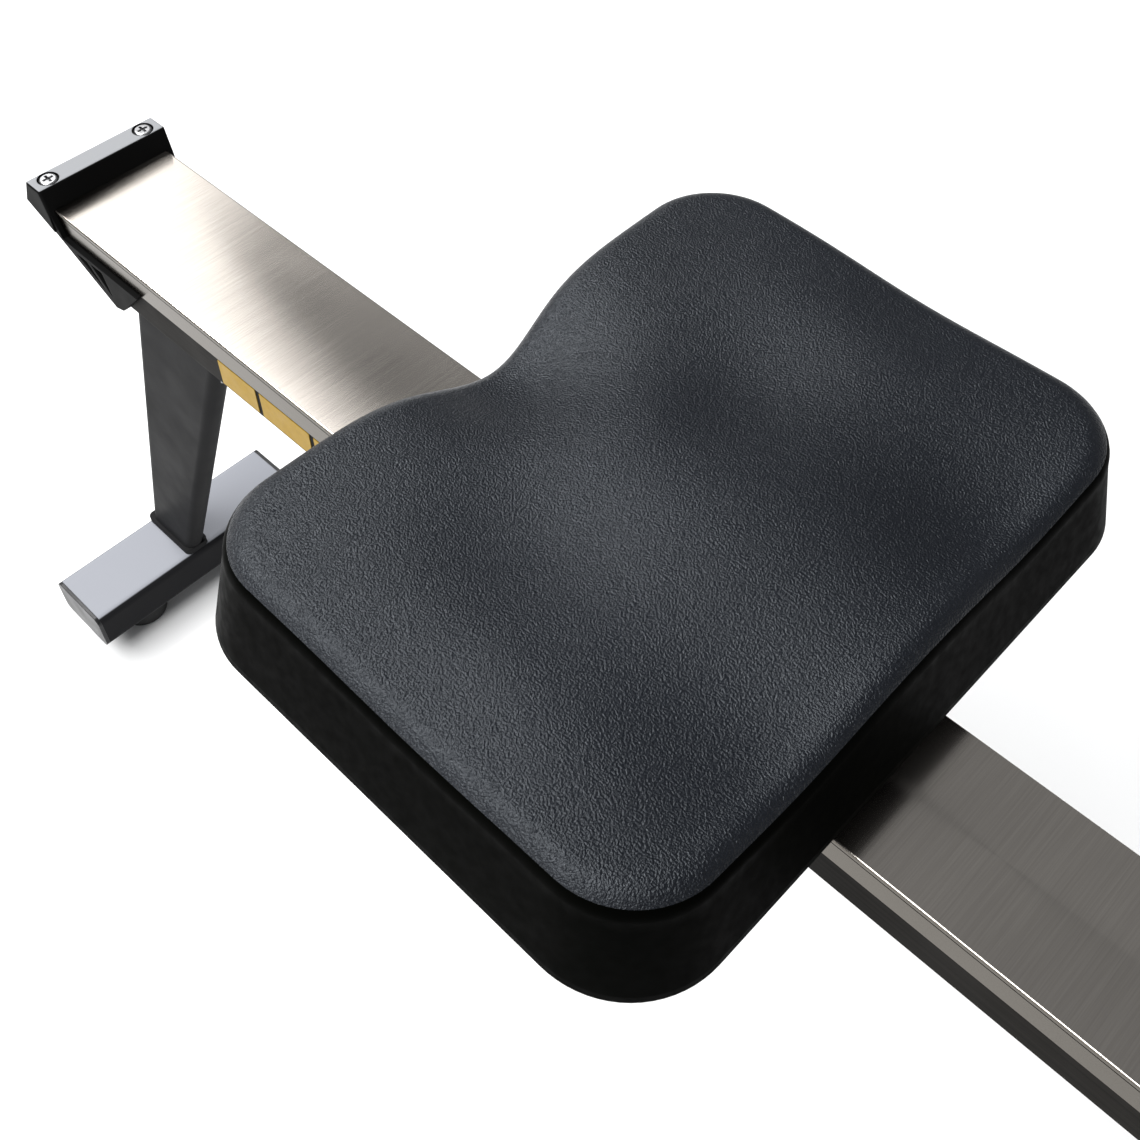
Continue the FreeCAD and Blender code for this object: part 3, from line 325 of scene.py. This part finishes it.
def satin_skirt():
    """The seat's sides: the same foam against a smoother mould, coloured darker than the top as painted
    shade.
    """
    skin = Finish("seat_skirt", (0.0006, 0.0007, 0.0005), 0.5, Specular_IOR_Level=0.008)
    shades = [(0.3, (0.0005, 0.0006, 0.0004)), (0.7, (0.0008, 0.0009, 0.0006))]
    skin.colour(skin.ramp(skin.noise(9.0, 3.0), shades))
    skin.rough(skin.ramp(skin.noise(200.0, 3.0), [(0.3, 0.44), (0.7, 0.58)]))
    skin.bump(skin.noise(1100.0, 2.0), 0.2, 0.00006)
    return skin.material


def woven_webbing():
    """Nylon webbing: a diagonal twill of close ribs."""
    web = Finish("nylon_webbing", (0.016, 0.016, 0.018), 0.78, Specular_IOR_Level=0.25)
    ribs = web.bands(420.0, "X", turn=(0, 0, 0.7))
    cross = web.bands(420.0, "Y", turn=(0, 0, 0.7))
    weave = web.times(ribs, cross)
    web.colour(web.ramp(weave, [(0.0, (0.008, 0.008, 0.009)), (1.0, (0.035, 0.035, 0.038))]))
    web.bump(weave, 0.6, 0.0003)
    return web.material


def braided_cord():
    cord = Finish("braided_cord", (0.02, 0.02, 0.022), 0.7, Specular_IOR_Level=0.3)
    rising = cord.bands(300.0, "X", turn=(0, 0, 0.8))
    falling = cord.bands(300.0, "X", turn=(0, 0, -0.8))
    braid = cord.times(rising, falling)
    cord.colour(cord.ramp(braid, [(0.0, (0.012, 0.012, 0.014)), (1.0, (0.05, 0.05, 0.055))]))
    cord.bump(braid, 0.7, 0.0004)
    return cord.material


def acetal():
    """Cream-white bearing plastic, scuffed where it rolls."""
    wheel = Finish("acetal_white", (0.60, 0.59, 0.55), 0.34, Subsurface_Weight=0.08)
    scuff = wheel.noise(120.0, 5.0, 0.7)
    wheel.colour(wheel.ramp(scuff, [(0.3, (0.52, 0.51, 0.48)), (0.7, (0.64, 0.63, 0.60))]))
    wheel.rough(wheel.ramp(scuff, [(0.3, 0.28), (0.7, 0.46)]))
    wheel.bump(scuff, 0.15, 0.00006)
    return wheel.material


def display():
    """A dull liquid-crystal panel under a clear face."""
    panel = Finish("display_panel", (0.16, 0.19, 0.16), 0.16, Coat_Weight=0.6, Coat_Roughness=0.06)
    dots = panel.times(panel.bands(900.0, "Y"), panel.bands(900.0, "Z"))
    panel.colour(panel.ramp(dots, [(0.0, (0.145, 0.175, 0.145)), (1.0, (0.18, 0.215, 0.18))]))
    return panel.material


def finish(material, *nodes):
    """Gives CAD nodes a material, in every slot that they have."""
    for name in nodes:
        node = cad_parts[name]
        if not node.material_slots:
            node.data.materials.append(material)
        for slot in node.material_slots:
            slot.material = material


def finish_all():
    # The crossbars' and end cap's `top` tones are painted reflections of a window on their upward
    # faces; paint and plastic are dark all over.
    crossbar_paint = powder_coat("paint_dark_painted_reflection", (0.012, 0.012, 0.013), 0.36, 0.03,
                         top=(0.27, 0.278, 0.305))
    grey = powder_coat("paint_dark_grey", (0.016, 0.016, 0.0165), 0.42, 0.01)
    black = satin_plastic("moulded_black", (0.010, 0.010, 0.011))
    cap = satin_plastic("moulded_black_cap", (0.003, 0.003, 0.003), 0.34, 0.008,
                        top=(0.25, 0.255, 0.265))
    finish(cap, "rail_end_cap")
    finish(crossbar_paint, "rear_crossbar", "front_crossbar")
    zinc = bright_zinc()
    steel = satin_steel()
    rubber = moulded_rubber("black_rubber")
    finish(brushed_track(), "rail_track")
    finish(dark_extrusion(), "rail_beam")
    finish(black, "crossbar_caps", "beam_front_plug", "heel_cup_left", "heel_cup_right", "strap_pulley",
           "idler_wheel", "take_up_wheel", "cage_rim", "cage_inner_side", "cage_outer_side")
    finish(satin_plastic("moulded_charcoal", (0.035, 0.035, 0.037), 0.45),
           "foot_plate_left", "foot_plate_right", "foot_buckles", "monitor_case", "damper_ring")
    finish(satin_plastic("nylon_grey", (0.12, 0.12, 0.125), 0.45), "fan_wheel")
    finish(zinc, "end_cap_screws", "frame_bolts", "axle_bearings", "fan_axle", "carriage_axles",
           "strap_guide", "beam_fittings", "take_up_block")
    finish(steel, "carriage_frame", "handle_bar", "handle_yoke")
    finish(printed_vinyl(), "caution_labels")
    finish(grey, "rear_leg", "front_leg", "main_beam", "fan_brackets", "rail_coupling", "wheel_forks",
           "monitor_arm", "handle_hook")
    finish(rubber, "rubber_feet", "track_stops", "handle_grips", "return_cord")
    finish(moulded_rubber("tyre_rubber", (0.022, 0.022, 0.023), 300.0),
           "transport_wheel_left", "transport_wheel_right")
    finish(moulded_rubber("button_rubber", (0.10, 0.10, 0.11), 900.0),
           "button_menu", "button_units", "button_light")
    finish(acetal(), "rear_top_rollers", "front_top_rollers", "rear_low_rollers", "front_low_rollers")
    finish(display(), "monitor_screen")


# ---- Mesh helpers ----

def add_mesh(name, points, faces, material, body):
    mesh = bpy.data.meshes.new(name)
    mesh.from_pydata([tuple(p) for p in points], [], faces)
    mesh.validate()
    mesh.materials.append(material)
    for polygon in mesh.polygons:
        polygon.use_smooth = True
    piece = bpy.data.objects.new(name, mesh)
    bpy.context.scene.collection.objects.link(piece)
    if body:
        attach(piece, body)
    return piece


def rings_to_faces(rings, around):
    """Quads between neighbouring rings of the same number of points."""
    faces = []
    for r in range(rings - 1):
        for k in range(around):
            n = (k + 1) % around
            here, beyond = r * around, (r + 1) * around
            faces.append((here + k, here + n, beyond + n, beyond + k))
    return faces


# ---- Seat ----

SEAT_LOW, SEAT_HIGH = [Vector(corner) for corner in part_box("seat_pad")]
SEAT_MID = (SEAT_LOW + SEAT_HIGH) / 2
SEAT_LEVEL = SEAT_HIGH.z - 0.0012
SEAT_HALF_X = 0.1235
SEAT_HALF_Y = 0.160
SEAT_CORNER = 0.042
SEAT_DRAFT = 0.009
RIM_RADIUS = 0.011
RIM_STEPS = 12
TOP_STEPS = 44
SKIRT_STEPS = 12
SEAT_AROUND = 288
NOTCH_DEPTH = 0.018
NOTCH_INDENT = 0.009
NOTCH_WIDTH = 0.040
NOTCH_FADE = (-0.105, -0.020)
NOTCH_EDGE_FADE = (-0.125, -0.06)
WELL_DEPTH = 0.0078
WELL_X = -0.018
WELL_Y = 0.058
WELL_LONG = 0.046
WELL_WIDE = 0.042
THIGH_DEPTH = 0.0085
THIGH_LEFT = 0.072
THIGH_RIGHT = 0.068
THIGH_WIDE = 0.044
THIGH_START = (0.0, 0.10)
THIGH_END = (0.095, 0.125)
WAIST_DEPTH = 0.0035
WAIST_X = 0.01
WAIST_LONG = 0.05
WAIST_SIDE = (0.10, 0.15)
FALL_DEPTH = 0.0035
FALL_RUN = (-0.05, 0.12)
HEM_RISE = 0.0004
HEM_INSET = 0.0022


def bell(value, width):
    return math.exp(-(value / width) ** 2)


def ease(value, low, high):
    """0 below low, 1 above high, smooth between."""
    t = min(1.0, max(0.0, (value - low) / (high - low)))
    return t * t * (3 - 2 * t)


def rounded_outline(inset):
    """Points evenly round a rounded rectangle, the seat's plan drawn in by an inset."""
    half_x = SEAT_HALF_X - inset
    half_y = SEAT_HALF_Y - inset
    corner = SEAT_CORNER - inset * 0.55
    straight_x = 2 * (half_x - corner)
    straight_y = 2 * (half_y - corner)
    quarter = corner * math.pi / 2
    total = 2 * (straight_x + straight_y) + 4 * quarter
    points = []
    for k in range(SEAT_AROUND):
        points.append(outline_point(total * k / SEAT_AROUND, straight_x, straight_y, quarter, corner))
    return points


def outline_point(run, straight_x, straight_y, quarter, corner):
    """The point a distance round from the middle of the front edge."""
    run += straight_y / 2
    place = Vector((straight_x / 2 + corner, -straight_y / 2))
    heading = Vector((0, 1))
    for straight in (straight_y, straight_x, straight_y, straight_x, straight_y):
        if run <= straight:
            return place + heading * run
        place += heading * straight
        run -= straight
        inward = Vector((-heading.y, heading.x))
        if run <= quarter:
            angle = run / corner
            return place + inward * corner * (1 - math.cos(angle)) + heading * corner * math.sin(angle)
        place += (inward + heading) * corner
        run -= quarter
        heading = inward
    return place


def seat_relief(x, y):
    """Height of the sitting surface over its rim level; x is forward of the seat's middle."""
    notch = -NOTCH_DEPTH * bell(y, NOTCH_WIDTH) * (1 - ease(x, *NOTCH_FADE))
    across = bell(y - WELL_Y, WELL_WIDE) + bell(y + WELL_Y, WELL_WIDE)
    wells = -WELL_DEPTH * bell(x - WELL_X, WELL_LONG) * across
    reach = ease(x, *THIGH_START) * (1 - 0.35 * ease(x, *THIGH_END))
    legs = bell(y - THIGH_LEFT, THIGH_WIDE) + bell(y + THIGH_RIGHT, THIGH_WIDE)
    thighs = -THIGH_DEPTH * reach * legs
    waist = -WAIST_DEPTH * bell(x - WAIST_X, WAIST_LONG) * ease(abs(y), *WAIST_SIDE)
    fall = -FALL_DEPTH * ease(x, *FALL_RUN)
    return notch + wells + thighs + waist + fall


def notch_shift(x, y, share):
    """The rear edge is drawn forward behind the tailbone."""
    return NOTCH_INDENT * bell(y, NOTCH_WIDTH) * (1 - ease(x, *NOTCH_EDGE_FADE)) * share


def seat_ring(inset, drop, share, scale=1.0, flat=None):
    """The seat's outline, shrunk by a scale, dropped below the relief or at a flat height."""
    ring = []
    for p in rounded_outline(inset):
        x, y = p.x * scale, p.y * scale
        shifted = x + notch_shift(x, y, share)
        height = flat if flat is not None else SEAT_LEVEL - drop + seat_relief(x, y)
        ring.append(Vector((SEAT_MID.x + shifted, y, height)))
    return ring


def rim_ring(step):
    angle = math.pi / 2 * step / RIM_STEPS
    inset = SEAT_DRAFT + RIM_RADIUS * (1 - math.sin(angle))
    return seat_ring(inset, RIM_RADIUS * (1 - math.cos(angle)), 1.0)


def skirt_ring(rim, step):
    """A ring between the rim's edge and the foot of the skirt."""
    down = step / SKIRT_STEPS
    ring = seat_ring(SEAT_DRAFT * (1 - down), 0.0, 1.0 - 0.3 * down)
    for point, edge in zip(ring, rim):
        point.z = edge.z + (SEAT_LOW.z + HEM_RISE - edge.z) * down
    return ring


def seat_rings():
    """From the middle of the top, out over the rim, down the skirt and in underneath."""
    flat_inset = SEAT_DRAFT + RIM_RADIUS
    rings = [seat_ring(flat_inset, 0.0, 1.0, k / TOP_STEPS) for k in range(1, TOP_STEPS + 1)]
    rings += [rim_ring(step) for step in range(1, RIM_STEPS + 1)]
    rim = rings[-1]
    rings += [skirt_ring(rim, step) for step in range(1, SKIRT_STEPS + 1)]
    rings += [seat_ring(HEM_INSET, 0.0, 0.7, scale, SEAT_LOW.z) for scale in (1.0, 0.9, 0.6, 0.3)]
    return rings


def make_seat():
    rings = seat_rings()
    points = [p for ring in rings for p in ring]
    faces = rings_to_faces(len(rings), SEAT_AROUND)
    top = len(points)
    points.append(Vector((SEAT_MID.x, 0, SEAT_LEVEL + seat_relief(0, 0))))
    points.append(Vector((SEAT_MID.x, 0, SEAT_LOW.z)))
    last = (len(rings) - 1) * SEAT_AROUND
    for k in range(SEAT_AROUND):
        n = (k + 1) % SEAT_AROUND
        faces.append((top, n, k))
        faces.append((top + 1, last + k, last + n))
    faces = [tuple(reversed(f)) for f in faces]
    seat = add_mesh("moulded_seat", points, faces, pebbled_skin(), "seat")
    seat.data.materials.append(satin_skirt())
    # The skirt's darker colour, painted shade, starts halfway round the rim.
    skirt_from = (TOP_STEPS + RIM_STEPS // 2) * SEAT_AROUND
    for polygon in seat.data.polygons:
        polygon.material_index = int(min(polygon.vertices) >= skirt_from)
    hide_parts("seat_pad")


# ---- Straps and cord ----

def arc(centre, radius, first, last, steps):
    """Points round a centre in the XZ plane, between two angles from +X in degrees."""
    points = []
    for k in range(steps + 1):
        angle = math.radians(first + (last - first) * k / steps)
        out = Vector((math.cos(angle), 0, math.sin(angle)))
        points.append(Vector((centre.x, 0, centre.z)) + out * radius)
    return points


def run(start, end, steps):
    return [start.lerp(end, k / steps) for k in range(1, steps)]


def band(name, path, half_width, thickness, material, body, across=Vector((0, 1, 0))):
    """A flat strap along a path, with soft edges."""
    side = [(-1.0, -0.25), (-0.93, -0.5), (0.93, -0.5), (1.0, -0.25)]
    section = side + [(-a, -b) for a, b in side]
    points = []
    for k, place in enumerate(path):
        ahead = (path[min(k + 1, len(path) - 1)] - path[max(k - 1, 0)]).normalized()
        out = ahead.cross(across).normalized()
        points += [place + across * (half_width * a) + out * (thickness * b) for a, b in section]
    faces = rings_to_faces(len(path), len(section))
    faces.append(tuple(range(len(section))))
    faces.append(tuple(reversed(range(len(points) - len(section), len(points)))))
    return add_mesh(name, points, faces, material, body)


def strap_path():
    """Drum, drop, idler, lower run, take-up wheel and upper run."""
    drum = arc(DRUM, DRUM_RADIUS, 90, 0, ARC_STEPS)
    idler = arc(IDLER, SHEAVE_RADIUS, 0, -90, ARC_STEPS)
    block = arc(TAKE_UP, SHEAVE_RADIUS, 270, 90, 2 * ARC_STEPS)
    anchor = Vector((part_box("strap_loop")[1][0] - STRAP_ANCHOR, 0, IDLER.z + SHEAVE_RADIUS))
    drop = run(drum[-1], idler[0], RUN_STEPS)
    lower = run(idler[-1], block[0], 2 * RUN_STEPS)
    upper = run(block[-1], anchor, 2 * RUN_STEPS)
    return drum + drop + idler + lower + block + upper + [anchor]


def make_drive_strap():
    web = woven_webbing()
    loop = band("drive_strap_loop", strap_path(), STRAP_HALF, STRAP_THICK, web, None)
    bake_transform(loop)
    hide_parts("strap_loop")
    low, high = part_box("strap_top_run")
    height = (low[2] + high[2]) / 2
    ends = Vector((low[0], 0, height)), Vector((high[0], 0, height))
    path = [ends[0]] + run(*ends, 2 * RUN_STEPS) + [ends[1]]
    top = band("drive_strap_top", path, STRAP_HALF, STRAP_THICK, web, None)
    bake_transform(top)
    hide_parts("strap_top_run")
    return web


def tube(name, path, radius, material, body, around=16):
    points = []
    for k, place in enumerate(path):
        ahead = (path[min(k + 1, len(path) - 1)] - path[max(k - 1, 0)]).normalized()
        side = ahead.cross(Vector((0, 0, 1))).normalized()
        for n in range(around):
            angle = 2 * math.pi * n / around
            lift = Vector((0, 0, radius * math.sin(angle)))
            points.append(place + side * (radius * math.cos(angle)) + lift)
    faces = rings_to_faces(len(path), around)
    faces.append(tuple(range(around)))
    faces.append(tuple(reversed(range(len(points) - around, len(points)))))
    return add_mesh(name, points, faces, material, body)


def make_return_cord():
    """The elastic cord: a fixed leg round its post and a leg that stretches to the block."""
    low, high = [Vector(c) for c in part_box("return_cord")]
    post = Vector((low.x + CORD_TURN + CORD_RADIUS, CORD_TURN, IDLER.z))
    angles = [math.pi * k / CORD_BEND_STEPS for k in range(CORD_BEND_STEPS + 1)]
    bend = [post - CORD_TURN * Vector((math.sin(a), math.cos(a), 0)) for a in angles]
    anchor = Vector((high.x, 2 * CORD_TURN, IDLER.z))
    material = braided_cord()
    leg = bend + run(bend[-1], anchor, CORD_LEG_STEPS) + [anchor]
    fixed = tube("return_cord_fixed", leg, CORD_RADIUS, material, "frame")
    hitch = Vector((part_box("take_up_block")[0][0], 0, IDLER.z))
    leg = [bend[0]] + run(bend[0], hitch, RUN_STEPS) + [hitch]
    moving = tube("return_cord_moving", leg, CORD_RADIUS, material, None)
    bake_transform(moving)
    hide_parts("return_cord")


PEDAL_HEEL = Vector((0.285, 0, 0.330))
FOOT_STRAP_PLACE = 0.209
FOOT_STRAP_Y = 0.094
FOOT_STRAP_HALF = 0.0505
FOOT_STRAP_RISE = 0.0705
FOOT_STRAP_STEPS = 32
FOOT_WEB_HALF = 0.019
FOOT_WEB_THICK = 0.0024


def make_foot_straps(web):
    """Webbing arched over each foot, on the slanted plates."""
    along = Vector((math.sqrt(0.5), 0, math.sqrt(0.5)))
    out = Vector((-math.sqrt(0.5), 0, math.sqrt(0.5)))
    middle_line = PEDAL_HEEL + along * FOOT_STRAP_PLACE
    for side, name in ((1, "left"), (-1, "right")):
        path = []
        for k in range(FOOT_STRAP_STEPS + 1):
            angle = math.pi * k / FOOT_STRAP_STEPS
            bulge = 1 + 0.05 * math.sin(angle)
            y = side * (FOOT_STRAP_Y - FOOT_STRAP_HALF * math.cos(angle) * bulge)
            rise = FOOT_STRAP_RISE * math.sin(angle) ** 0.8
            path.append(middle_line + out * rise + Vector((0, y, 0)))
        strap = band(f"foot_webbing_{name}", path, FOOT_WEB_HALF, FOOT_WEB_THICK, web,
                     "frame", across=along)
        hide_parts(f"foot_strap_{name}")


# ---- Stage ----

SENSOR = 36.0
FOCAL_PIXELS = 1338.1
PICTURE = 1140.0
CENTRE_PIXELS = (540.2, 513.9)
CAMERA_PLACE = Vector((RAIL_REAR + 0.6173, -0.2707, RAIL_TOP + 0.4760))
# The camera's right and down directions.
CAMERA_RIGHT = Vector((0.71252, 0.70163, -0.0062))
CAMERA_DOWN = Vector((0.5463, -0.56028, -0.62261))


def make_camera():
    data = bpy.data.cameras.new("camera")
    data.sensor_width = SENSOR
    data.lens = FOCAL_PIXELS / PICTURE * SENSOR
    data.shift_x = (PICTURE / 2 - CENTRE_PIXELS[0]) / PICTURE
    data.shift_y = (CENTRE_PIXELS[1] - PICTURE / 2) / PICTURE
    data.clip_start = 0.01
    camera = bpy.data.objects.new("camera", data)
    ahead = CAMERA_RIGHT.cross(CAMERA_DOWN)
    columns = Matrix((CAMERA_RIGHT, -CAMERA_DOWN, -ahead)).transposed()
    camera.matrix_world = Matrix.Translation(CAMERA_PLACE) @ columns.to_4x4()
    bpy.context.scene.collection.objects.link(camera)
    bpy.context.scene.camera = camera


def area_light(name, target, azimuth, elevation, distance, width, height, radiance):
    """A soft box of a radiance that faces a target from an azimuth and elevation in degrees."""
    data = bpy.data.lights.new(name, "AREA")
    data.shape = "RECTANGLE"
    data.size = width
    data.size_y = height
    data.energy = radiance * math.pi * width * height
    light = bpy.data.objects.new(name, data)
    a, e = math.radians(azimuth), math.radians(elevation)
    away = Vector((math.cos(a) * math.cos(e), math.sin(a) * math.cos(e), math.sin(e)))
    light.location = target + away * distance
    light.rotation_euler = away.to_track_quat("Z", "Y").to_euler()
    bpy.context.scene.collection.objects.link(light)


FLOOR_HALF = 9.0


def make_floor():
    floor = Finish("studio_floor", (0.86, 0.86, 0.86), 0.9, Specular_IOR_Level=0.0)
    floor.colour(floor.ramp(floor.noise(3.0, 2.0), [(0.3, 0.85), (0.7, 0.87)]))
    mesh = bpy.data.meshes.new("floor")
    corners = [(a * FLOOR_HALF, b * FLOOR_HALF, 0) for a, b in ((-1, -1), (1, -1), (1, 1), (-1, 1))]
    mesh.from_pydata(corners, [], [(0, 1, 2, 3)])
    mesh.materials.append(floor.material)
    piece = bpy.data.objects.new("floor", mesh)
    bpy.context.scene.collection.objects.link(piece)


def make_lights():
    world = bpy.data.worlds.new("studio")
    world.use_nodes = True
    sky = world.node_tree.nodes["Background"]
    sky.inputs["Color"].default_value = (0.96, 0.98, 1.0, 1.0)
    sky.inputs["Strength"].default_value = 0.27
    bpy.context.scene.world = world
    rail = Vector((RAIL_REAR + 0.15, 0, RAIL_TOP))
    ground = Vector((-0.4, 0, 0))
    area_light("rear_window", rail, 166, 42, distance=2.6, width=1.0, height=1.6, radiance=2.6)
    area_light("side_window", rail, 176, 52, distance=2.6, width=0.8, height=0.8, radiance=26.0)
    area_light("near_window", ground, 250, 58, distance=4.2, width=3.4, height=2.6, radiance=8.6)
    bpy.context.scene.view_settings.view_transform = "Standard"


finish_all()
make_seat()
webbing = make_drive_strap()
make_return_cord()
make_foot_straps(webbing)
make_camera()
make_lights()
make_floor()
